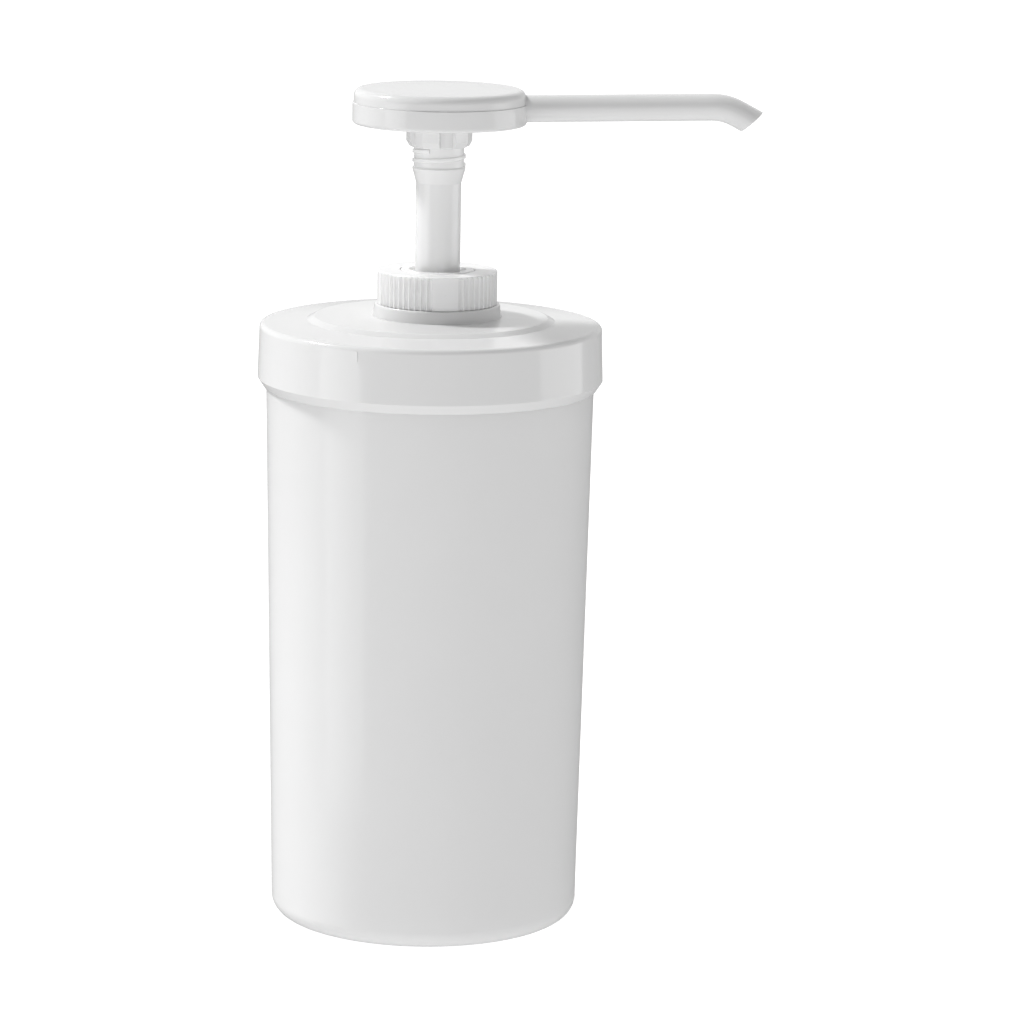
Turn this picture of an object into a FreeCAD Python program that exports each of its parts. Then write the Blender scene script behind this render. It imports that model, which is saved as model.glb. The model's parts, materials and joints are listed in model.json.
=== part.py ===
"""Condiment pump dispenser: a wide-mouth screw-lid jar with a long-spout piston pump.

Millimetres.  +Z is up, the spout points along +X, and the origin is the centre of
the jar's base on the table.  The pump stands on an axis of its own, a little in
front of the jar's axis, so its pieces are drawn about Z and moved by PUMP_X.
"""
import FreeCAD, Part
import os
from math import asin, cos, pi, radians, sin, tan

Vector = FreeCAD.Vector
UP = Vector(0, 0, 1)
RIDGE_SINK = 0.35           # how deep a thread ridge is rooted in its wall

# ---------------------------------------------------------------- driving dimensions
PUMP_X = 2.0                # pump axis in front of the jar axis

# jar
JAR_BASE_R = 53.7           # outer radius at the table
JAR_TOP_R = 56.93           # outer radius inside the lid's lip, so the sides have draft
JAR_BODY_TOP = 189.4        # where the body steps in to the neck
JAR_SHOULDER = 2.0          # height of that step
JAR_WALL = 1.8
JAR_FLOOR = 2.2
JAR_BASE_ROUND = 6.0
PUSH_UP_R = 42.0            # recess under the base that leaves a foot ring
PUSH_UP_RISE = 1.4
PUSH_UP_TAPER = 2.0         # how much smaller the recess is at its top
NECK_R = 55.5
NECK_INNER_R = 53.5
RIM_Z = 206.5

# jar thread and its mate in the lid
JAR_PITCH = 6.0
JAR_TURNS = 1.25
JAR_THREAD_Z = 194.8        # height of the jar ridge's start
JAR_RIDGE_R = 57.0
LID_RIDGE_R = 56.0
JAR_RIDGE_WIDTHS = (2.6, 1.2)   # at the ridge's root and at its crest
LID_RIDGE_DROP = 1.82       # the lid's ridge lies this far under the jar's
LID_RIDGE_REACH = 58.3      # its root is trimmed at this radius, inside the skirt

# lid
LID_BOTTOM = 187.9
LID_LIP_TOP = 191.2         # the skirt's lower edge is chamfered below this height
LID_LIP_R = 57.7
LID_LIP_WALL = 0.4
LID_SKIRT_R = 59.9
LID_TOP_R = 59.3
LID_WALL = 1.8
LID_TOP = 210.0             # height of the roof at the skirt; it rises from there inward
LID_ROOF = 208.0            # flat underside that presses on the gasket
LID_ROOF_THICK = 2.0
LID_EDGE_ROUND = 1.7
PLATFORM_FOOT = (43.0, 211.2)   # radius and height where the sloped step begins
PLATFORM_EDGE = (40.4, 212.5)   # radius and height where it ends
PLATFORM_TOP = 213.0
PLATFORM_ROUND = 0.8
SEAL_PLUG_R = (51.4, 52.9)  # ring under the roof, inside the jar's neck
SEAL_PLUG_DEPTH = 4.5
TURRET_FOOT_R = 22.8        # smooth tapered ring that the collar closes down to
TURRET_R = 21.6             # its radius at the top
TURRET_TOP = 217.2
TURRET_ROUND = 0.5
NECK38_R = 17.6             # root radius of the pump neck on the lid
NECK38_BORE = 15.75
NECK38_TOP = 224.0
TICK_SIZE = (1.6, 0.6, 3.4)     # small upright mark on the skirt: depth, width, height
TICK_BOTTOM = 204.9
TICK_STAND = 0.35           # how far it stands out
TICK_ANGLE = -114.6         # its direction, from +X about +Z

# pump neck thread and its mate in the collar
NECK38_PITCH = 4.2
NECK38_RIDGE_R = 18.7
NECK38_THREAD_Z = 219.2
NECK38_TURNS = 0.9
NECK38_RIDGE_WIDTHS = (2.0, 0.9)
COLLAR_RIDGE_R = 18.0
COLLAR_TURNS = 0.85
COLLAR_RIDGE_DROP = 1.42    # the collar's ridge lies this far under the neck's
COLLAR_RIDGE_START = 0.65   # and starts this much further up its own helix

# collar
COLLAR_R = 20.75
COLLAR_BOTTOM = 217.3
COLLAR_TOP = 228.9
COLLAR_INNER_R = 19.15
COLLAR_ROOF = 1.4
COLLAR_HOLE_R = 13.1
GRIP_PITCH = 6.0            # degrees from groove to groove
GRIP_GROOVES = 11           # grooves in each of the four groups
PANEL_ANGLE = -82.0         # direction of one plain panel, from +X about +Z
GRIP_CUTTER_R = 0.9
GRIP_CUTTER_AT = 20.95
GRIP_TOP = 0.1              # how far under the collar's top the grooves run out
GRIP_POINT = 0.8            # length of a groove's pointed top
GRIP_POINT_R = 0.3
COLLAR_ROUND = 0.6
GATE_MARK_R = 0.45          # moulding pip in the middle of one plain panel
GATE_MARK_Z = 222.6

# pump cylinder and what closes it
PUMP_GASKET = 0.8
FLANGE_R = 18.4
FLANGE_THICK = 1.4
CYLINDER_R = 15.4
CYLINDER_BORE = 14.0
CYLINDER_FLOOR = 142.0
CYLINDER_FLOOR_THICK = 2.0
SPIGOT_R = 10.6
SPIGOT_BORE = 9.0
SPIGOT_BOTTOM = 126.0
BUSH_BOTTOM = 213.0
BUSH_FLANGE_THICK = 1.2
BUSH_BOSS_R = 12.8
BUSH_TOP = 229.1
BUSH_BORE = 7.88            # lower bore that guides the stem
BUSH_THREAD_R = 8.93        # wider upper bore with the lock thread
BUSH_STEP_Z = 217.8         # height where the one becomes the other
BUSH_MOUTH_R = 9.9          # the upper bore's chamfered mouth
BUSH_MOUTH_DEPTH = 2.2
BUSH_GROOVE_R = 9.5         # its lock thread
BUSH_GROOVE_WIDTHS = (2.0, 1.3)
BUSH_GROOVE_TURNS = 2.1
BUSH_GROOVE_Z = 219.2
WIPER_SEAT_R = 10.4
WIPER_Z = (214.6, 216.6)
WIPER_LIP = 0.6             # how far its lip is thinned, above and below

# inlet valve and dip tube
INLET_BALL_R = 5.0
INLET_PASSAGE = 3.4
INLET_CHAMBER = 6.5
INLET_SEAT_Z = 128.0
INLET_BALL_Z = 131.72
VALVE_FLANGE_BOTTOM = 123.5
VALVE_SEAL_R = 7.8
VALVE_SEAL_Z = (134.4, 136.4)
CAGE_R = 12.6               # spring seat over the valve
CAGE_TOP = 143.4
CAGE_BAR_BOTTOM = 139.4     # the crossed bars that stop the ball
CAGE_BAR_WIDTH = 2.0
BARB_R = 4.75
BARB_BOTTOM = 110.0
DIP_TUBE_R = 6.0
DIP_TUBE_BOTTOM = 6.0
DIP_TUBE_SLANT = 30.0       # degrees that its foot is cut off level

# stem, from its foot to the head
STEM_BOTTOM = 203.0
STEM_BORE = 6.0
STEM_R = 7.8
STEM_TAPER_Z = (259.2, 264.3)   # it widens here to the lock thread
STEM_STOP_R = 10.6
STEM_STOP_Z = (210.7, 212.7)
LOCK_ROOT_R = 8.6
LOCK_RIDGE_R = 9.2
LOCK_PITCH = 3.2
LOCK_TOP = 271.5
STEM_TOP = 279.5
STEM_PLUG_R = 9.0
STEM_SEAL_R = 7.5
STEM_SEAL_Z = (275.0, 276.8)
LOCK_RIDGE_WIDTHS = (1.9, 1.0)

# piston and outlet valve
PISTON_SEAT_R = 10.5
PISTON_SEAT_BOTTOM = 200.5
PISTON_PLUG_TOP = 211.0
PISTON_LIP_R = 13.95
OUTLET_PASSAGE = 3.0
OUTLET_SEAT_TOP_R = 4.6
OUTLET_BALL_R = 4.5
OUTLET_BALL_Z = 212.80
OUTLET_STOP_Z = (220.0, 223.0)
OUTLET_BAR = (13.0, 1.6)    # length and width of the crossed bars over the ball
CUP_SLEEVE_R = 10.3         # outside of the cup's sleeve
CUP_WEB_R = 12.5            # where its web meets the lips
CUP_LIP_INNER_R = 13.4

# return spring
SPRING_R = 9.5              # centre of the wire
SPRING_WIRE = 0.7
SPRING_COILS = 9

# head
HEAD_R = 30.0
HEAD_BOTTOM = 279.4
HEAD_SPLIT = 286.6
CAP_R = 29.6
CAP_EDGE_TOP = 291.4
CAP_CROWN = 292.1
CAP_ROUND = 2.7
CAP_ROOF = 2.0
SNAP_RING_R = 26.6          # inside of the ring that clips the cap into the base
SNAP_RING_DEPTH = 1.5
SNAP_RING_RISE = 0.8
HEAD_LOWER_ROUND = 1.2
HEAD_UPPER_ROUND = 0.15
HEAD_SHELL = 1.8
HUB_R = 9.8
HUB_RIB_R = 11.0            # to a rib's flat face
HUB_RIBS = 6
HUB_RIB_WIDTH = 5.8
HUB_RIB_ANGLE = -105.0      # direction of one rib, from +X about +Z
HUB_RIB_BOTTOM = 273.7
HUB_RIB_TAPER = 2.0         # height of the cut corner under it
HEAD_WEB_SIZE = (19.3, 1.4, 3.0)    # stiffening webs inside: length, width, height
HEAD_WEB_START = 8.8

# spout
SPOUT_R = 4.65
SPOUT_BORE = 3.45
SPOUT_AXIS_Z = 284.3        # height where its axis crosses the pump axis
SPOUT_RISE = 1.35           # degrees that the straight run climbs
SPOUT_DROP = 28.0           # degrees that the end points below level
SPOUT_START = 9.0
SPOUT_BEND_START = 93.4
SPOUT_BEND_R = 18.0
SPOUT_END = 107.4           # centre of the bevelled mouth, out from the pump axis
SPOUT_BEVEL = 48.0          # degrees that the mouth's face looks below level
ELBOW_R = 8.6
ELBOW_TOP = 289.3
ELBOW_BOSS_R = 6.2
ELBOW_REACH = 21.0
ELBOW_FLOOR = 1.9           # clear height under the boss
ELBOW_WELL_R = 5.0          # where the flow turns
ELBOW_WELL_RISE = 2.0


# ---------------------------------------------------------------- helpers
def revolve(points):
    """A closed outline of (radius, height) points turned about Z."""
    outline = [Vector(r, 0, z) for r, z in points]
    face = Part.Face(Part.makePolygon(outline + outline[:1]))
    return face.revolve(Vector(0, 0, 0), UP, 360)


def ring(inner, outer, bottom, top):
    return revolve([(inner, bottom), (outer, bottom), (outer, top), (inner, top)])


def rod(radius, bottom, top):
    return Part.makeCylinder(radius, top - bottom, Vector(0, 0, bottom))


def cone(bottom_r, top_r, bottom, top):
    return Part.makeCone(bottom_r, top_r, top - bottom, Vector(0, 0, bottom))


def turned(shape, angle):
    """A copy of a shape turned about Z by an angle in degrees."""
    copy = shape.copy()
    copy.rotate(Vector(0, 0, 0), UP, angle)
    return copy


def circle_edges_at(shape, radius, z):
    """Circular edges of one radius at one height, for a round."""
    found = []
    for edge in shape.Edges:
        curve = edge.Curve
        if isinstance(curve, Part.Circle) and abs(curve.Radius - radius) < 0.01:
            if abs(curve.Center.z - z) < 0.01:
                found.append(edge)
    return found


def rounded(shape, radius, edge_r, edge_z):
    return shape.makeFillet(radius, circle_edges_at(shape, edge_r, edge_z))


def helical_ridge(root_r, crest_r, widths, pitch, turns, start_z):
    """A right-hand thread ridge that sinks a little into the wall it stands on."""
    root_width, crest_width = widths
    sink = RIDGE_SINK if crest_r > root_r else -RIDGE_SINK
    foot = root_r - sink
    corners = [
        Vector(foot, 0, -root_width / 2),
        Vector(crest_r, 0, -crest_width / 2),
        Vector(crest_r, 0, crest_width / 2),
        Vector(foot, 0, root_width / 2),
    ]
    profile = Part.makePolygon(corners + corners[:1])
    path = Part.Wire(Part.makeHelix(pitch, pitch * turns, root_r).Edges)
    ridge = path.makePipeShell([profile], True, True)
    ridge.translate(Vector(0, 0, start_z))
    return ridge


def jar_radius(z):
    """Outer radius of the drafted jar body at a height."""
    return JAR_BASE_R + (JAR_TOP_R - JAR_BASE_R) * z / JAR_BODY_TOP


# ---------------------------------------------------------------- jar and lid
def make_jar():
    outer = revolve([
        (0, 0), (JAR_BASE_R, 0), (JAR_TOP_R, JAR_BODY_TOP),
        (NECK_R, JAR_BODY_TOP + JAR_SHOULDER), (NECK_R, RIM_Z), (0, RIM_Z),
    ])
    outer = rounded(outer, JAR_BASE_ROUND, JAR_BASE_R, 0)
    floor_z = PUSH_UP_RISE + JAR_FLOOR
    floor_r = jar_radius(floor_z) - JAR_WALL
    shoulder_r = JAR_TOP_R - JAR_WALL
    cavity = revolve([
        (0, floor_z), (floor_r, floor_z), (shoulder_r, JAR_BODY_TOP - JAR_SHOULDER),
        (NECK_INNER_R, JAR_BODY_TOP + JAR_SHOULDER), (NECK_INNER_R, RIM_Z + 1), (0, RIM_Z + 1),
    ])
    cavity = rounded(cavity, JAR_BASE_ROUND - JAR_WALL, floor_r, floor_z)
    push_up = cone(PUSH_UP_R, PUSH_UP_R - PUSH_UP_TAPER, -0.01, PUSH_UP_RISE)
    jar = outer.cut(cavity).cut(push_up)
    thread = helical_ridge(NECK_R, JAR_RIDGE_R, JAR_RIDGE_WIDTHS, JAR_PITCH, JAR_TURNS, JAR_THREAD_Z)
    return jar.fuse(thread)


def make_lid():
    skirt_inner_top = LID_TOP_R - LID_WALL
    skirt_inner_low = LID_SKIRT_R - LID_WALL
    foot_r, foot_z = PLATFORM_FOOT
    edge_r, edge_z = PLATFORM_EDGE
    outer = revolve([
        (0, LID_BOTTOM), (LID_LIP_R, LID_BOTTOM), (LID_SKIRT_R, LID_LIP_TOP), (LID_TOP_R, LID_TOP),
        (foot_r, foot_z), (edge_r, edge_z), (TURRET_R, PLATFORM_TOP), (0, PLATFORM_TOP),
    ])
    outer = rounded(outer, LID_EDGE_ROUND, LID_TOP_R, LID_TOP)
    outer = rounded(outer, PLATFORM_ROUND, edge_r, edge_z)
    lip_r = LID_LIP_R - LID_LIP_WALL
    hollow = revolve([
        (0, LID_BOTTOM - 1), (lip_r, LID_BOTTOM - 1), (lip_r, LID_BOTTOM),
        (skirt_inner_low, LID_LIP_TOP), (skirt_inner_top, LID_ROOF),
        (SEAL_PLUG_R[0] - 1.0, LID_ROOF), (foot_r - 1.0, foot_z - LID_ROOF_THICK),
        (edge_r - 1.0, edge_z - LID_ROOF_THICK), (TURRET_R, PLATFORM_TOP - LID_ROOF_THICK),
        (0, PLATFORM_TOP - LID_ROOF_THICK),
    ])
    lid = outer.cut(hollow)
    seal_plug = ring(SEAL_PLUG_R[0], SEAL_PLUG_R[1], LID_ROOF - SEAL_PLUG_DEPTH, LID_ROOF + 0.2)
    thread = helical_ridge(
        skirt_inner_top, LID_RIDGE_R, JAR_RIDGE_WIDTHS, JAR_PITCH, JAR_TURNS,
        JAR_THREAD_Z - LID_RIDGE_DROP)
    thread = thread.common(rod(LID_RIDGE_REACH, LID_BOTTOM, LID_TOP))
    lid = lid.fuse([seal_plug, thread, make_turret()])
    bore = rod(NECK38_BORE, LID_ROOF - 1, NECK38_TOP + 1)
    bore.translate(Vector(PUMP_X, 0, 0))
    return lid.cut(bore).fuse(make_lid_tick())


def make_turret():
    """The smooth ring and the threaded neck that carry the pump."""
    turret = cone(TURRET_FOOT_R, TURRET_R, PLATFORM_TOP - 1.0, TURRET_TOP)
    turret = rounded(turret, TURRET_ROUND, TURRET_R, TURRET_TOP)
    neck = rod(NECK38_R, TURRET_TOP - 0.5, NECK38_TOP)
    thread = helical_ridge(
        NECK38_R, NECK38_RIDGE_R, NECK38_RIDGE_WIDTHS, NECK38_PITCH, NECK38_TURNS, NECK38_THREAD_Z)
    turret = turret.fuse([neck, thread])
    turret.translate(Vector(PUMP_X, 0, 0))
    return turret


def make_lid_tick():
    """A small upright mark moulded on the skirt, near its top edge."""
    depth, width, height = TICK_SIZE
    corner = Vector(LID_TOP_R + TICK_STAND - depth, -width / 2, TICK_BOTTOM)
    return turned(Part.makeBox(depth, width, height, corner), TICK_ANGLE)


def make_lid_gasket():
    return ring(SEAL_PLUG_R[1] + 0.2, NECK_R + 1.1, RIM_Z, LID_ROOF)


# ---------------------------------------------------------------- collar and housing
def make_grip_groove():
    """One upright grip groove, open below and pointed at the top, at angle zero."""
    high = COLLAR_TOP - GRIP_TOP
    groove = rod(GRIP_CUTTER_R, COLLAR_BOTTOM - 0.5, high - GRIP_POINT)
    groove = groove.fuse(cone(GRIP_CUTTER_R, GRIP_POINT_R, high - GRIP_POINT, high))
    groove.translate(Vector(GRIP_CUTTER_AT, 0, 0))
    return groove


def make_collar():
    roof = COLLAR_TOP - COLLAR_ROOF
    collar = rounded(rod(COLLAR_R, COLLAR_BOTTOM, COLLAR_TOP), COLLAR_ROUND, COLLAR_R, COLLAR_TOP)
    collar = collar.cut(rod(COLLAR_INNER_R, COLLAR_BOTTOM - 1, roof))
    collar = collar.cut(rod(COLLAR_HOLE_R, roof - 1, COLLAR_TOP + 1))
    grooves = []
    plain = 90 - GRIP_PITCH * (GRIP_GROOVES - 1)
    for group in range(4):
        first = PANEL_ANGLE + 90 * group + plain / 2
        for k in range(GRIP_GROOVES):
            grooves.append(turned(make_grip_groove(), first + GRIP_PITCH * k))
    collar = collar.cut(grooves)
    thread = helical_ridge(
        COLLAR_INNER_R, COLLAR_RIDGE_R, NECK38_RIDGE_WIDTHS, NECK38_PITCH, COLLAR_TURNS,
        NECK38_THREAD_Z - COLLAR_RIDGE_DROP + COLLAR_RIDGE_START)
    thread = turned(thread, 360 * COLLAR_RIDGE_START / NECK38_PITCH)
    gate_mark = Part.makeCylinder(
        GATE_MARK_R, 0.8, Vector(COLLAR_R - 0.65, 0, GATE_MARK_Z), Vector(1, 0, 0))
    return collar.fuse([thread, turned(gate_mark, PANEL_ANGLE)])


def make_pump_gasket():
    return ring(NECK38_BORE + 0.05, FLANGE_R, NECK38_TOP, NECK38_TOP + PUMP_GASKET)


def make_pump_cylinder():
    flange_bottom = NECK38_TOP + PUMP_GASKET
    floor_bottom = CYLINDER_FLOOR - CYLINDER_FLOOR_THICK
    return revolve([
        (INLET_CHAMBER, floor_bottom), (SPIGOT_BORE, floor_bottom), (SPIGOT_BORE, SPIGOT_BOTTOM),
        (SPIGOT_R, SPIGOT_BOTTOM), (SPIGOT_R, floor_bottom - 3.0),
        (CYLINDER_R, floor_bottom + 2.5), (CYLINDER_R, flange_bottom), (FLANGE_R, flange_bottom),
        (FLANGE_R, flange_bottom + FLANGE_THICK), (CYLINDER_BORE, flange_bottom + FLANGE_THICK),
        (CYLINDER_BORE, CYLINDER_FLOOR), (INLET_CHAMBER, CYLINDER_FLOOR),
    ])


def make_guide_bush():
    """The bush that closes the cylinder, guides the stem and takes its lock thread."""
    flange_bottom = NECK38_TOP + PUMP_GASKET + FLANGE_THICK
    flange_top = flange_bottom + BUSH_FLANGE_THICK
    body = revolve([
        (BUSH_BORE, BUSH_BOTTOM), (CYLINDER_BORE, BUSH_BOTTOM), (CYLINDER_BORE, flange_bottom),
        (FLANGE_R - 0.5, flange_bottom), (FLANGE_R - 0.5, flange_top), (BUSH_BOSS_R, flange_top),
        (BUSH_BOSS_R, BUSH_TOP - 0.3), (BUSH_BOSS_R - 0.3, BUSH_TOP),
        (BUSH_MOUTH_R, BUSH_TOP), (BUSH_THREAD_R, BUSH_TOP - BUSH_MOUTH_DEPTH),
        (BUSH_THREAD_R, BUSH_STEP_Z), (BUSH_BORE, BUSH_STEP_Z),
    ])
    wiper_groove = ring(BUSH_BORE - 1, WIPER_SEAT_R, WIPER_Z[0], WIPER_Z[1])
    lock_groove = helical_ridge(
        BUSH_THREAD_R, BUSH_GROOVE_R, BUSH_GROOVE_WIDTHS, LOCK_PITCH, BUSH_GROOVE_TURNS,
        BUSH_GROOVE_Z)
    return body.cut(wiper_groove).cut(lock_groove)


def make_stem_wiper():
    """Seal in the bush that narrows to a lip on the stem."""
    lip_r = STEM_R + 0.03
    bottom, top = WIPER_Z
    return revolve([
        (lip_r, bottom + WIPER_LIP), (WIPER_SEAT_R, bottom), (WIPER_SEAT_R, top),
        (lip_r, top - WIPER_LIP),
    ])


# ---------------------------------------------------------------- inlet valve, dip tube
def make_inlet_valve_body():
    top = CYLINDER_FLOOR - CYLINDER_FLOOR_THICK
    seat_top = INLET_SEAT_Z + INLET_CHAMBER - INLET_PASSAGE
    body = revolve([
        (INLET_PASSAGE, BARB_BOTTOM), (BARB_R - 0.5, BARB_BOTTOM), (BARB_R, BARB_BOTTOM + 2),
        (BARB_R, VALVE_FLANGE_BOTTOM), (SPIGOT_R, VALVE_FLANGE_BOTTOM), (SPIGOT_R, SPIGOT_BOTTOM),
        (SPIGOT_BORE, SPIGOT_BOTTOM), (SPIGOT_BORE, top), (INLET_CHAMBER, top),
        (INLET_CHAMBER, seat_top), (INLET_PASSAGE, INLET_SEAT_Z),
    ])
    return body.cut(ring(VALVE_SEAL_R, SPIGOT_BORE + 1, VALVE_SEAL_Z[0], VALVE_SEAL_Z[1]))


def make_valve_o_ring():
    return ring(VALVE_SEAL_R, SPIGOT_BORE, VALVE_SEAL_Z[0], VALVE_SEAL_Z[1])


def make_inlet_valve_cage():
    """Spring seat that rests on the cylinder floor and stops the inlet ball's rise."""
    cage = ring(INLET_CHAMBER - 0.2, CAGE_R, CYLINDER_FLOOR, CAGE_TOP)
    corner = Vector(-INLET_CHAMBER, -CAGE_BAR_WIDTH / 2, CAGE_BAR_BOTTOM)
    bar = Part.makeBox(2 * INLET_CHAMBER, CAGE_BAR_WIDTH, CAGE_TOP - CAGE_BAR_BOTTOM, corner)
    cross = bar.fuse(turned(bar, 90))
    cross = cross.common(rod(INLET_CHAMBER - 0.1, CAGE_BAR_BOTTOM, CAGE_TOP))
    return cage.fuse(cross)


def make_inlet_ball():
    return Part.makeSphere(INLET_BALL_R, Vector(0, 0, INLET_BALL_Z))


def make_dip_tube():
    tube = ring(BARB_R, DIP_TUBE_R, DIP_TUBE_BOTTOM, VALVE_FLANGE_BOTTOM)
    slant = Part.makeBox(30, 30, 20, Vector(-15, -15, -20))
    slant.rotate(Vector(0, 0, 0), Vector(0, 1, 0), DIP_TUBE_SLANT)
    slant.translate(Vector(0, 0, DIP_TUBE_BOTTOM + DIP_TUBE_R * tan(radians(DIP_TUBE_SLANT))))
    return tube.cut(slant)


# ---------------------------------------------------------------- stem and piston
def make_pump_stem():
    stem = revolve([
        (STEM_BORE + 0.5, STEM_BOTTOM), (STEM_R, STEM_BOTTOM),
        (STEM_R, STEM_STOP_Z[0]), (STEM_STOP_R, STEM_STOP_Z[0]),
        (STEM_STOP_R, STEM_STOP_Z[1]), (STEM_R, STEM_STOP_Z[1]),
        (STEM_R, STEM_TAPER_Z[0]), (LOCK_RIDGE_R, STEM_TAPER_Z[1]),
        (LOCK_ROOT_R, STEM_TAPER_Z[1] + 0.6), (LOCK_ROOT_R, LOCK_TOP),
        (STEM_PLUG_R, LOCK_TOP), (STEM_PLUG_R, STEM_TOP), (STEM_BORE, STEM_TOP),
        (STEM_BORE, PISTON_PLUG_TOP), (STEM_BORE + 0.5, PISTON_PLUG_TOP),
    ])
    turns = (LOCK_TOP - STEM_TAPER_Z[1] - 1.8) / LOCK_PITCH
    thread = helical_ridge(
        LOCK_ROOT_R, LOCK_RIDGE_R, LOCK_RIDGE_WIDTHS, LOCK_PITCH, turns, STEM_TAPER_Z[1] + 0.9)
    length, width = OUTLET_BAR
    bottom, top = OUTLET_STOP_Z
    bar = Part.makeBox(length, width, top - bottom, Vector(-length / 2, -width / 2, bottom))
    seal_groove = ring(STEM_SEAL_R, STEM_PLUG_R + 1, STEM_SEAL_Z[0], STEM_SEAL_Z[1])
    return stem.fuse([thread, bar, turned(bar, 90)]).cut(seal_groove)


def make_stem_o_ring():
    return ring(STEM_SEAL_R, STEM_PLUG_R, STEM_SEAL_Z[0], STEM_SEAL_Z[1])


def make_piston_seat():
    """Disc and plug under the stem: it carries the spring, the cup and the outlet seat."""
    seat_drop = OUTLET_SEAT_TOP_R - OUTLET_PASSAGE
    return revolve([
        (OUTLET_PASSAGE, PISTON_SEAT_BOTTOM), (PISTON_SEAT_R, PISTON_SEAT_BOTTOM),
        (PISTON_SEAT_R, STEM_BOTTOM), (STEM_BORE + 0.5, STEM_BOTTOM),
        (STEM_BORE + 0.5, PISTON_PLUG_TOP), (OUTLET_SEAT_TOP_R, PISTON_PLUG_TOP),
        (OUTLET_PASSAGE, PISTON_PLUG_TOP - seat_drop),
    ])


def make_outlet_ball():
    return Part.makeSphere(OUTLET_BALL_R, Vector(0, 0, OUTLET_BALL_Z))


def make_piston_seal():
    """Double-lipped cup: a sleeve on the stem, a web, and a lip each way."""
    sleeve_r = STEM_R + 0.05
    low, high = STEM_BOTTOM + 0.1, STEM_STOP_Z[0] - 0.1
    middle = (low + high) / 2
    return revolve([
        (sleeve_r, low), (CUP_SLEEVE_R, low), (CUP_SLEEVE_R, middle - 0.8),
        (CUP_WEB_R, middle - 0.8), (CUP_LIP_INNER_R, low + 0.3), (PISTON_LIP_R, low + 0.3),
        (PISTON_LIP_R, low + 1.2), (CUP_LIP_INNER_R + 0.1, middle), (PISTON_LIP_R, high - 1.2),
        (PISTON_LIP_R, high - 0.3), (CUP_LIP_INNER_R, high - 0.3), (CUP_WEB_R, middle + 0.8),
        (CUP_SLEEVE_R, middle + 0.8), (CUP_SLEEVE_R, high), (sleeve_r, high),
    ])


def make_return_spring():
    bottom = CAGE_TOP + SPRING_WIRE
    rise = PISTON_SEAT_BOTTOM - SPRING_WIRE - bottom
    path = Part.Wire(Part.makeHelix(rise / SPRING_COILS, rise, SPRING_R).Edges)
    section = Part.Wire(Part.makeCircle(SPRING_WIRE, Vector(SPRING_R, 0, 0), Vector(0, 1, 0)))
    spring = path.makePipeShell([section], True, True)
    spring.translate(Vector(0, 0, bottom))
    return spring


# ---------------------------------------------------------------- head and spout
def spout_height(x):
    """Height of the straight run's axis at a distance from the pump axis."""
    return SPOUT_AXIS_Z + x * tan(radians(SPOUT_RISE))


def spout_path():
    """Centre line: the rising straight run, the bend down, and a short straight end."""
    start = Vector(SPOUT_START, 0, spout_height(SPOUT_START))
    bend = Vector(SPOUT_BEND_START, 0, spout_height(SPOUT_BEND_START))
    rise, drop = radians(SPOUT_RISE), radians(SPOUT_DROP)
    centre = bend + Vector(SPOUT_BEND_R * sin(rise), 0, -SPOUT_BEND_R * cos(rise))

    def on_bend(angle):
        return centre + Vector(SPOUT_BEND_R * sin(angle), 0, SPOUT_BEND_R * cos(angle))

    bend_end = on_bend(drop)
    end = bend_end + Vector(cos(drop), 0, -sin(drop)) * 20
    arc = Part.Arc(bend, on_bend((drop - rise) / 2), bend_end)
    edges = [Part.LineSegment(start, bend), arc, Part.LineSegment(bend_end, end)]
    return Part.Wire([edge.toShape() for edge in edges]), bend_end


def bevel_cutter(bend_end):
    """A block beyond the slanted mouth of the spout."""
    mouth_x = SPOUT_END
    mouth_z = bend_end.z - (mouth_x - bend_end.x) * tan(radians(SPOUT_DROP))
    block = Part.makeBox(40, 40, 40, Vector(0, -20, -20))
    block.rotate(Vector(0, 0, 0), Vector(0, 1, 0), SPOUT_BEVEL)
    block.translate(Vector(mouth_x, 0, mouth_z))
    return block


def swept_rod(radius, path):
    start = path.Vertexes[0].Point
    along = path.Edges[0].tangentAt(path.Edges[0].FirstParameter)
    section = Part.Wire(Part.makeCircle(radius, start, along))
    return path.makePipeShell([section], True, False)


def make_spout_tube():
    path, bend_end = spout_path()
    tube = swept_rod(SPOUT_R, path).cut(swept_rod(SPOUT_BORE, path))
    return tube.cut(bevel_cutter(bend_end))


def along_spout(radius, start, end):
    """A rod on the axis of the spout's straight run."""
    climb = Vector(cos(radians(SPOUT_RISE)), 0, sin(radians(SPOUT_RISE)))
    return Part.makeCylinder(radius, end - start, Vector(start, 0, spout_height(start)), climb)


def make_spout_elbow():
    """Block inside the head that turns the flow from the stem into the spout."""
    boss = along_spout(ELBOW_BOSS_R, 0, ELBOW_REACH)
    boss_bottom = STEM_TOP + ELBOW_FLOOR
    slab = Part.makeBox(60, 40, ELBOW_TOP - boss_bottom, Vector(-30, -20, boss_bottom))
    elbow = rod(ELBOW_R, STEM_TOP, ELBOW_TOP).fuse(boss.common(slab))
    elbow = elbow.cut(rod(ELBOW_WELL_R, STEM_TOP - 1, SPOUT_AXIS_Z + ELBOW_WELL_RISE))
    elbow = elbow.cut(along_spout(SPOUT_BORE, 0, SPOUT_START + 0.1))
    return elbow.cut(along_spout(SPOUT_R, SPOUT_START, ELBOW_REACH + 5))


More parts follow.
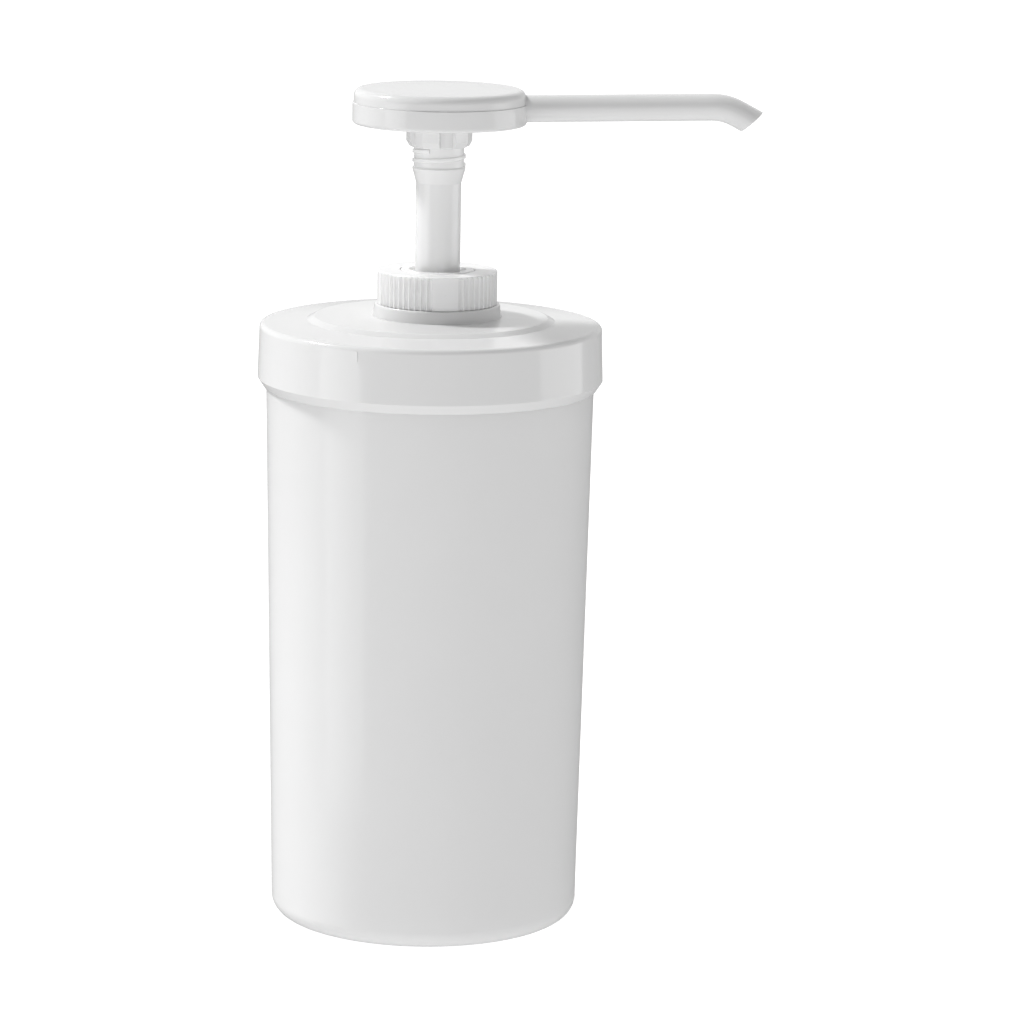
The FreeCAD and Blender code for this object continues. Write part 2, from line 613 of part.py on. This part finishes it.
def make_hub_rib():
    """One upright rib on the hub, with its lower corner cut away, at angle zero."""
    half = HUB_RIB_WIDTH / 2
    inner_r, tip_z, top_z = HUB_R - 0.5, HUB_RIB_BOTTOM - HUB_RIB_TAPER, HEAD_BOTTOM + 0.5
    corners = [
        Vector(inner_r, -half, tip_z), Vector(HUB_R, -half, tip_z),
        Vector(HUB_RIB_R, -half, HUB_RIB_BOTTOM), Vector(HUB_RIB_R, -half, top_z),
        Vector(inner_r, -half, top_z),
    ]
    side = Part.Face(Part.makePolygon(corners + corners[:1]))
    return side.extrude(Vector(0, HUB_RIB_WIDTH, 0))


def make_head_base():
    plate_top = HEAD_BOTTOM + HEAD_SHELL
    shell = rod(HEAD_R, HEAD_BOTTOM, HEAD_SPLIT)
    shell = rounded(shell, HEAD_LOWER_ROUND, HEAD_R, HEAD_BOTTOM)
    shell = rounded(shell, HEAD_UPPER_ROUND, HEAD_R, HEAD_SPLIT)
    shell = shell.cut(rod(HEAD_R - HEAD_SHELL, plate_top, HEAD_SPLIT + 1))
    hub = revolve([
        (0, LOCK_TOP + 0.1), (HUB_R - 0.4, LOCK_TOP + 0.1), (HUB_R, LOCK_TOP + 0.5),
        (HUB_R, HEAD_BOTTOM + 1), (0, HEAD_BOTTOM + 1),
    ])
    ribs = [turned(make_hub_rib(), HUB_RIB_ANGLE + 360 * k / HUB_RIBS) for k in range(HUB_RIBS)]
    base = shell.fuse([hub] + ribs + make_head_webs(plate_top))
    base = base.cut(rod(STEM_PLUG_R, LOCK_TOP - 1, STEM_TOP))
    base = base.cut(rod(ELBOW_R, STEM_TOP - 1, HEAD_SPLIT + 5))
    base = base.cut(along_spout(ELBOW_BOSS_R + 0.05, 0, ELBOW_REACH))
    return base.cut(along_spout(SPOUT_R, ELBOW_REACH - 1, HEAD_R + 5))


def make_head_webs(plate_top):
    """Stiffening webs on the plate inside the head, clear of the spout's side."""
    length, width, height = HEAD_WEB_SIZE
    web = Part.makeBox(length, width, height, Vector(HEAD_WEB_START, -width / 2, plate_top - 0.2))
    return [turned(web, angle) for angle in range(60, 360, 60)]


def crowned_disc(radius, edge_round, crown, bottom):
    """A disc with a shallow spherical crown that runs smoothly into its edge round."""
    bulge = CAP_CROWN - CAP_EDGE_TOP
    sphere_r = (radius ** 2 + bulge ** 2) / (2 * bulge)
    sphere_z = crown - sphere_r
    round_r = radius - edge_round
    lean = asin(round_r / (sphere_r - edge_round))
    round_z = sphere_z + (sphere_r - edge_round) * cos(lean)

    def on_crown(angle):
        return Vector(sphere_r * sin(angle), 0, sphere_z + sphere_r * cos(angle))

    def on_round(angle):
        return Vector(round_r + edge_round * sin(angle), 0, round_z + edge_round * cos(angle))

    side = on_round(pi / 2)
    outline = [
        Part.Arc(on_crown(0), on_crown(lean / 2), on_crown(lean)),
        Part.Arc(on_round(lean), on_round((lean + pi / 2) / 2), side),
        Part.LineSegment(side, Vector(radius, 0, bottom)),
        Part.LineSegment(Vector(radius, 0, bottom), Vector(0, 0, bottom)),
        Part.LineSegment(Vector(0, 0, bottom), on_crown(0)),
    ]
    face = Part.Face(Part.Wire([edge.toShape() for edge in outline]))
    return face.revolve(Vector(0, 0, 0), UP, 360)


def make_head_cap():
    outer = crowned_disc(CAP_R, CAP_ROUND, CAP_CROWN, HEAD_SPLIT)
    inner = crowned_disc(
        CAP_R - HEAD_SHELL, CAP_ROUND - HEAD_SHELL, CAP_CROWN - CAP_ROOF, HEAD_SPLIT - 1)
    snap_ring = ring(
        SNAP_RING_R, HEAD_R - HEAD_SHELL - 0.05, HEAD_SPLIT - SNAP_RING_DEPTH,
        HEAD_SPLIT + SNAP_RING_RISE)
    cap = outer.cut(inner).fuse(snap_ring)
    cap = cap.cut(along_spout(SPOUT_R, ELBOW_REACH - 1, HEAD_R + 5))
    under_spout = Part.makeBox(10, 2 * SPOUT_R, 8, Vector(ELBOW_REACH + 1, -SPOUT_R, HEAD_SPLIT - 8))
    return cap.cut(under_spout)


# ---------------------------------------------------------------- the assembly
ON_JAR_AXIS = {
    "jar": make_jar,
    "lid": make_lid,
    "lid_gasket": make_lid_gasket,
}
ON_PUMP_AXIS = {
    "collar": make_collar,
    "pump_gasket": make_pump_gasket,
    "pump_cylinder": make_pump_cylinder,
    "guide_bush": make_guide_bush,
    "stem_wiper": make_stem_wiper,
    "inlet_valve_body": make_inlet_valve_body,
    "valve_o_ring": make_valve_o_ring,
    "inlet_valve_cage": make_inlet_valve_cage,
    "inlet_ball": make_inlet_ball,
    "dip_tube": make_dip_tube,
    "pump_stem": make_pump_stem,
    "stem_o_ring": make_stem_o_ring,
    "piston_seat": make_piston_seat,
    "outlet_ball": make_outlet_ball,
    "piston_seal": make_piston_seal,
    "return_spring": make_return_spring,
    "spout_elbow": make_spout_elbow,
    "spout_tube": make_spout_tube,
    "head_base": make_head_base,
    "head_cap": make_head_cap,
}


def write_step(name, shape):
    if not shape.isValid() or len(shape.Solids) != 1:
        raise ValueError(f"{name}: not one valid solid ({len(shape.Solids)} solids)")
    solid = shape.Solids[0]
    solid.exportStep(f"parts/{name}.step")
    print(f"{name:18s} {solid.Volume:10.1f} mm3")


def main():
    os.makedirs("parts", exist_ok=True)
    for name, make in ON_JAR_AXIS.items():
        write_step(name, make())
    for name, make in ON_PUMP_AXIS.items():
        shape = make()
        shape.translate(Vector(PUMP_X, 0, 0))
        write_step(name, shape)


main()
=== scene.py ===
"""Looks of the condiment pump dispenser: moulded white plastics, soft studio light.

Everything is in metres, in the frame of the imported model: +Z up, the spout along +X.
Noise scales are in waves per metre.
"""
import json
import math

import bpy
from mathutils import Matrix, Vector


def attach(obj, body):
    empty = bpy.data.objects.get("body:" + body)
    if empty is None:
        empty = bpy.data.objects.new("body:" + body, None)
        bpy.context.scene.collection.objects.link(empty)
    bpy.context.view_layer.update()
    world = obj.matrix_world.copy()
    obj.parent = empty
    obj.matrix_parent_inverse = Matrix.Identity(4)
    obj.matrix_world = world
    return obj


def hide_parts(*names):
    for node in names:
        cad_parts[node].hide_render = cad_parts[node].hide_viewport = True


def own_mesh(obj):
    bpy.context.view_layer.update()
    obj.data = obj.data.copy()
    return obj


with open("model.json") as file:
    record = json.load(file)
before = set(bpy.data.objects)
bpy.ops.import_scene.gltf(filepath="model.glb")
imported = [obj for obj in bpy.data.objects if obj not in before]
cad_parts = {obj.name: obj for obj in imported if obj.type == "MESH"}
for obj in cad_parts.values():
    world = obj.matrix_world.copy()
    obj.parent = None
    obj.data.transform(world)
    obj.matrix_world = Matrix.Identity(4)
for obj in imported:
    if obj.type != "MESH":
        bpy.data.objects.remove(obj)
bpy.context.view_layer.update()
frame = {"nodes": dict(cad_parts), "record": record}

PLASTIC_MOTTLE = 30.0
PLASTIC_GLOSS = 60.0
PLASTIC_PEEL = 260.0
PLASTIC_PEEL_DEPTH = 0.00002
PLASTIC_PEEL_STRENGTH = 0.05
PLASTIC_IOR = 1.49
PLASTIC_SCATTER_DEPTH = 0.0015
SHADED = 0.97               # the darker tone of the mottling, as a share of the colour

SEAL_MOTTLE = 90.0
SEAL_SHEEN = 300.0
SEAL_GRAIN = 1500.0
SEAL_GRAIN_DEPTH = 0.0002

FLOOR_HALF = 12.0
FLOOR_GREY = 0.30
FLOOR_GLOW = 0.88


# ---------------------------------------------------------------- materials
def new_material(name):
    """A node material, its tree and its Principled shader."""
    material = bpy.data.materials.new(name)
    material.use_nodes = True
    tree = material.node_tree
    return material, tree, tree.nodes["Principled BSDF"]


def add_node(tree, kind, **inputs):
    """A shader node with its sockets set: an underscore stands for a space in a socket's name."""
    node = tree.nodes.new(kind)
    for name, value in inputs.items():
        node.inputs[name.replace("_", " ")].default_value = value
    return node


def noise(tree, waves, detail=3.0):
    """Smooth noise over the object's own metres."""
    place = tree.nodes.new("ShaderNodeTexCoord")
    texture = add_node(tree, "ShaderNodeTexNoise", Scale=waves, Detail=detail, Roughness=0.5)
    tree.links.new(place.outputs["Object"], texture.inputs["Vector"])
    return texture.outputs["Fac"]


def spread(tree, value, low, high):
    """Noise mapped to a range: most of it lies between 0.3 and 0.7."""
    node = add_node(tree, "ShaderNodeMapRange", From_Min=0.3, From_Max=0.7, To_Min=low, To_Max=high)
    tree.links.new(value, node.inputs["Value"])
    return node.outputs["Result"]


def two_tone(tree, value, dark, light):
    """Noise turned into colours between two tones."""
    ramp = tree.nodes.new("ShaderNodeValToRGB")
    ramp.color_ramp.elements[0].color = (*dark, 1)
    ramp.color_ramp.elements[1].color = (*light, 1)
    tree.links.new(value, ramp.inputs["Fac"])
    return ramp.outputs["Color"]


def add_grain(tree, shader, waves, detail, strength, depth):
    """Bumps the surface with fine noise."""
    bump = add_node(tree, "ShaderNodeBump", Strength=strength, Distance=depth)
    tree.links.new(noise(tree, waves, detail), bump.inputs["Height"])
    tree.links.new(bump.outputs["Normal"], shader.inputs["Normal"])


def moulded_plastic(name, grey, roughness, scatter):
    """White moulded plastic: faint mottling, uneven gloss and a slight orange peel."""
    material, tree, shader = new_material(name)
    shade = tuple(c * SHADED for c in grey)
    mottle = noise(tree, PLASTIC_MOTTLE, 4.0)
    tree.links.new(two_tone(tree, mottle, shade, grey), shader.inputs["Base Color"])
    gloss = spread(tree, noise(tree, PLASTIC_GLOSS, 2.0), roughness * 0.9, roughness * 1.1)
    tree.links.new(gloss, shader.inputs["Roughness"])
    add_grain(tree, shader, PLASTIC_PEEL, 1.0, PLASTIC_PEEL_STRENGTH, PLASTIC_PEEL_DEPTH)
    shader.inputs["IOR"].default_value = PLASTIC_IOR
    shader.inputs["Subsurface Weight"].default_value = scatter
    shader.inputs["Subsurface Radius"].default_value = (1.0, 1.0, 0.95)
    shader.inputs["Subsurface Scale"].default_value = PLASTIC_SCATTER_DEPTH
    return material


def milky_wall(name, grey, roughness, share):
    """Moulded plastic thin enough that its wall lets through some of the light behind it."""
    material = moulded_plastic(name, grey, roughness, 0.0)
    tree = material.node_tree
    behind = add_node(tree, "ShaderNodeBsdfTranslucent", Color=(*grey, 1))
    mix = add_node(tree, "ShaderNodeMixShader", Fac=share)
    tree.links.new(tree.nodes["Principled BSDF"].outputs["BSDF"], mix.inputs[1])
    tree.links.new(behind.outputs["BSDF"], mix.inputs[2])
    tree.links.new(mix.outputs["Shader"], tree.nodes["Material Output"].inputs["Surface"])
    return material


def soft_seal_material(name):
    """Soft white elastomer with a dull, grainy skin."""
    material, tree, shader = new_material(name)
    tone = two_tone(tree, noise(tree, SEAL_MOTTLE), (0.70, 0.70, 0.68), (0.80, 0.80, 0.78))
    tree.links.new(tone, shader.inputs["Base Color"])
    tree.links.new(spread(tree, noise(tree, SEAL_SHEEN), 0.5, 0.7), shader.inputs["Roughness"])
    add_grain(tree, shader, SEAL_GRAIN, 3.0, 0.15, SEAL_GRAIN_DEPTH)
    return material


def steel_material(name, low, high, grain):
    """Stainless steel whose roughness wanders between two values."""
    material, tree, shader = new_material(name)
    tone = two_tone(tree, noise(tree, grain), (0.50, 0.50, 0.51), (0.66, 0.66, 0.67))
    tree.links.new(tone, shader.inputs["Base Color"])
    tree.links.new(spread(tree, noise(tree, grain * 2), low, high), shader.inputs["Roughness"])
    shader.inputs["Metallic"].default_value = 1.0
    return material


# name: how it is made, and its colour, roughness and scattering (or share of light let through)
PLASTICS = {
    "jar_plastic": (milky_wall, (0.97, 0.97, 0.97), 0.14, 0.30),
    "lid_plastic": (moulded_plastic, (0.775, 0.775, 0.775), 0.13, 0.2),
    "pump_plastic": (moulded_plastic, (0.92, 0.92, 0.92), 0.16, 0.3),
    "stem_plastic": (moulded_plastic, (0.85, 0.85, 0.85), 0.14, 0.5),
    "head_plastic": (moulded_plastic, (0.77, 0.77, 0.77), 0.12, 0.15),
    "spout_plastic": (moulded_plastic, (0.77, 0.77, 0.77), 0.12, 0.15),
    "natural_plastic": (moulded_plastic, (0.80, 0.80, 0.77), 0.38, 0.5),
}
MATERIALS = {name: make(name, *looks) for name, (make, *looks) in PLASTICS.items()}
MATERIALS["soft_seal"] = soft_seal_material("soft_seal")
MATERIALS["spring_steel"] = steel_material("spring_steel", 0.22, 0.34, 900.0)
MATERIALS["ball_steel"] = steel_material("ball_steel", 0.05, 0.10, 200.0)


def finish_cad_nodes():
    """Gives every CAD node the material of its slot."""
    slots = {part["node"]: part["material_slot"] for part in frame["record"]["subparts"]}
    for name, node in frame["nodes"].items():
        node.data.materials.clear()
        node.data.materials.append(MATERIALS[slots[name]])


def make_spring():
    """The return spring, a copy of the CAD spring carried with the pump body; its foot is on the
    valve cage and the piston comes down on it.
    """
    spring = bpy.data.objects.new("coil_spring", frame["nodes"]["return_spring"].data.copy())
    bpy.context.scene.collection.objects.link(spring)
    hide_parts("return_spring")
    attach(spring, "pump_body")
    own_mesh(spring)


# ---------------------------------------------------------------- stage, light, camera
def make_floor():
    """A plain pale floor, seen by the camera only: the light all round lights the object."""
    mesh = bpy.data.meshes.new("floor")
    corners = [(FLOOR_HALF * x, FLOOR_HALF * y, 0) for x, y in ((-1, -1), (1, -1), (1, 1), (-1, 1))]
    mesh.from_pydata(corners, [], [(0, 1, 2, 3)])
    floor = bpy.data.objects.new("floor", mesh)
    bpy.context.scene.collection.objects.link(floor)
    material, _, shader = new_material("floor_paper")
    shader.inputs["Base Color"].default_value = (FLOOR_GREY, FLOOR_GREY, FLOOR_GREY, 1)
    shader.inputs["Roughness"].default_value = 0.9
    shader.inputs["Specular IOR Level"].default_value = 0.0
    shader.inputs["Emission Color"].default_value = (1, 1, 1, 1)
    shader.inputs["Emission Strength"].default_value = FLOOR_GLOW
    mesh.materials.append(material)
    floor.visible_diffuse = False
    floor.visible_glossy = False
    floor.visible_transmission = False
    floor.visible_shadow = False


def make_world(below, above):
    """Soft light all round: from below, where the pale floor throws it back, and from above.

    Each is a pair of strengths, on the viewer's side and behind the object.
    """
    world = bpy.data.worlds.new("studio")
    world.use_nodes = True
    tree = world.node_tree
    background = tree.nodes["Background"]
    background.inputs["Color"].default_value = (1, 1, 1, 1)
    place = tree.nodes.new("ShaderNodeTexCoord")
    parts = tree.nodes.new("ShaderNodeSeparateXYZ")
    tree.links.new(place.outputs["Generated"], parts.inputs["Vector"])
    level = add_node(tree, "ShaderNodeMapRange", From_Min=-0.06, From_Max=0.06)
    tree.links.new(parts.outputs["Z"], level.inputs["Value"])
    for (in_front, behind), end in ((below, "To Min"), (above, "To Max")):
        share = add_node(tree, "ShaderNodeMapRange", From_Min=-0.7, From_Max=0.7,
                         To_Min=in_front, To_Max=behind)
        tree.links.new(parts.outputs["Y"], share.inputs["Value"])
        tree.links.new(share.outputs["Result"], level.inputs[end])
    tree.links.new(level.outputs["Result"], background.inputs["Strength"])
    bpy.context.scene.world = world


def direction_from(azimuth, elevation):
    """Unit vector towards a place: azimuth 0 is the viewer's side, + to the viewer's right."""
    a, e = math.radians(azimuth), math.radians(elevation)
    return Vector((math.sin(a) * math.cos(e), -math.cos(a) * math.cos(e), math.sin(e)))


def aim(thing, place, target):
    """Puts a light at a place, shining at a target."""
    thing.location = place
    thing.rotation_mode = "QUATERNION"
    thing.rotation_quaternion = (target - place).to_track_quat("-Z", "Y")


def make_key(azimuth, elevation, strength, angle):
    """The main light; angle is how wide it looks, in degrees, which softens its shadows."""
    light = bpy.data.lights.new("key", "SUN")
    light.energy = strength
    light.angle = math.radians(angle)
    key = bpy.data.objects.new("key", light)
    bpy.context.scene.collection.objects.link(key)
    aim(key, direction_from(azimuth, elevation) * 3, Vector((0, 0, 0)))


def make_softbox(name, azimuth, distance, height, size, radiance, aim_height):
    """A glowing rectangle with the same brightness over its face, out of the camera's sight."""
    light = bpy.data.lights.new(name, "AREA")
    light.shape = "RECTANGLE"
    light.size, light.size_y = size
    light.energy = radiance * math.pi * size[0] * size[1]
    box = bpy.data.objects.new(name, light)
    box.visible_camera = False
    bpy.context.scene.collection.objects.link(box)
    place = direction_from(azimuth, 0) * distance + Vector((0, 0, height))
    aim(box, place, Vector((0, 0, aim_height)))


def make_camera():
    """A long lens a little above the jar, looking slightly down."""
    distance, height = 1.5622, 0.45375
    yaw, pitch, roll = 0.0187, 0.1959, 0.0173
    forward = Vector((math.sin(yaw) * math.cos(pitch), math.cos(yaw) * math.cos(pitch),
                      -math.sin(pitch)))
    level = Vector((math.cos(yaw), -math.sin(yaw), 0))
    upward = level.cross(forward)
    right = math.cos(roll) * level + math.sin(roll) * upward
    up = math.cos(roll) * upward - math.sin(roll) * level
    data = bpy.data.cameras.new("camera")
    data.sensor_width = 36.0
    data.lens = 160.22
    camera = bpy.data.objects.new("camera", data)
    bpy.context.scene.collection.objects.link(camera)
    turn = Matrix((right, up, -forward)).transposed().to_4x4()
    camera.matrix_world = Matrix.Translation((0, -distance, height)) @ turn
    bpy.context.scene.camera = camera


finish_cad_nodes()
make_spring()
make_floor()
make_world((1.22, 0.42), (0.33, 0.64))
make_key(-113, 47, 2.7, 8.0)
make_softbox("softbox", -59, 0.55, 0.08, (0.30, 0.36), 1.45, 0.08)
make_softbox("side_panel", 97, 0.80, 0.15, (0.62, 0.20), 1.30, 0.15)
make_softbox("backdrop", 180, 2.0, 1.05, (3.0, 1.5), 0.20, 0.40)
make_camera()
bpy.context.scene.view_settings.view_transform = "Standard"
